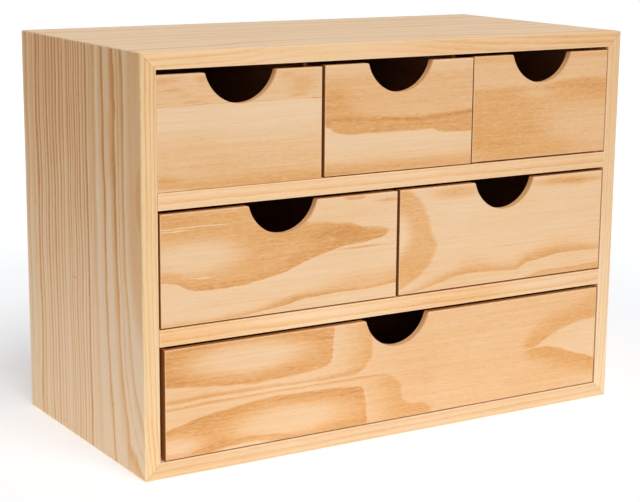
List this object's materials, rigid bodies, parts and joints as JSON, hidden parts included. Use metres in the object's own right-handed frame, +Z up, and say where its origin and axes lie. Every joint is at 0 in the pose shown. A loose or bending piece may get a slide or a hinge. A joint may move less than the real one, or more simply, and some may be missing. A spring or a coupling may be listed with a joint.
{
  "type": "chest of drawers",
  "caption": "Table-top pine chest of drawers: a mitred open-front case with shelves between rows of pull-out drawers, each opened by a round finger notch.",
  "frame": {"origin": "centre of the base, on the surface that the chest stands on", "axes": "+Z up, the drawers open towards -Y, +X to the right as seen from the front"},
  "size_m": [0.42, 0.21, 0.3],
  "materials": {
    "pine_board": "sanded, unfinished",
    "pine_plywood_front": "sanded rotary-cut pine veneer, unfinished",
    "thin_plywood": "unfinished thin plywood",
    "dowel_wood": "turned, unfinished",
    "steel_brad": "bright drawn wire"
  },
  "bodies": {
    "case": {"left_side_panel": "pine_board", "right_side_panel": "pine_board", "top_panel": "pine_board", "bottom_panel": "pine_board", "upper_shelf": "pine_board", "lower_shelf": "pine_board", "back_panel": "thin_plywood", "top_row_left_divider": "thin_plywood", "top_row_right_divider": "thin_plywood", "middle_row_divider": "thin_plywood", "corner_splines": "thin_plywood", "shelf_dowels": "dowel_wood", "back_panel_pins": "steel_brad"},
    "bottom_drawer": {"bottom_drawer_front": "pine_plywood_front", "bottom_drawer_left_side": "thin_plywood", "bottom_drawer_right_side": "thin_plywood", "bottom_drawer_back": "thin_plywood", "bottom_drawer_bottom": "thin_plywood", "bottom_drawer_brads": "steel_brad"},
    "middle_left_drawer": {"middle_left_drawer_front": "pine_plywood_front", "middle_left_drawer_left_side": "thin_plywood", "middle_left_drawer_right_side": "thin_plywood", "middle_left_drawer_back": "thin_plywood", "middle_left_drawer_bottom": "thin_plywood", "middle_left_drawer_brads": "steel_brad"},
    "middle_right_drawer": {"middle_right_drawer_front": "pine_plywood_front", "middle_right_drawer_left_side": "thin_plywood", "middle_right_drawer_right_side": "thin_plywood", "middle_right_drawer_back": "thin_plywood", "middle_right_drawer_bottom": "thin_plywood", "middle_right_drawer_brads": "steel_brad"},
    "top_left_drawer": {"top_left_drawer_front": "pine_plywood_front", "top_left_drawer_left_side": "thin_plywood", "top_left_drawer_right_side": "thin_plywood", "top_left_drawer_back": "thin_plywood", "top_left_drawer_bottom": "thin_plywood", "top_left_drawer_brads": "steel_brad"},
    "top_middle_drawer": {"top_middle_drawer_front": "pine_plywood_front", "top_middle_drawer_left_side": "thin_plywood", "top_middle_drawer_right_side": "thin_plywood", "top_middle_drawer_back": "thin_plywood", "top_middle_drawer_bottom": "thin_plywood", "top_middle_drawer_brads": "steel_brad"},
    "top_right_drawer": {"top_right_drawer_front": "pine_plywood_front", "top_right_drawer_left_side": "thin_plywood", "top_right_drawer_right_side": "thin_plywood", "top_right_drawer_back": "thin_plywood", "top_right_drawer_bottom": "thin_plywood", "top_right_drawer_brads": "steel_brad"}
  },
  "joints": [
    {"name": "bottom_drawer_slide", "type": "slide", "parent": "case", "child": "bottom_drawer", "axis": [0, -1, 0], "range_m": [0, 0.15]},
    {"name": "middle_left_drawer_slide", "type": "slide", "parent": "case", "child": "middle_left_drawer", "axis": [0, -1, 0], "range_m": [0, 0.15]},
    {"name": "middle_right_drawer_slide", "type": "slide", "parent": "case", "child": "middle_right_drawer", "axis": [0, -1, 0], "range_m": [0, 0.15]},
    {"name": "top_left_drawer_slide", "type": "slide", "parent": "case", "child": "top_left_drawer", "axis": [0, -1, 0], "range_m": [0, 0.15]},
    {"name": "top_middle_drawer_slide", "type": "slide", "parent": "case", "child": "top_middle_drawer", "axis": [0, -1, 0], "range_m": [0, 0.15]},
    {"name": "top_right_drawer_slide", "type": "slide", "parent": "case", "child": "top_right_drawer", "axis": [0, -1, 0], "range_m": [0, 0.15]}
  ]
}
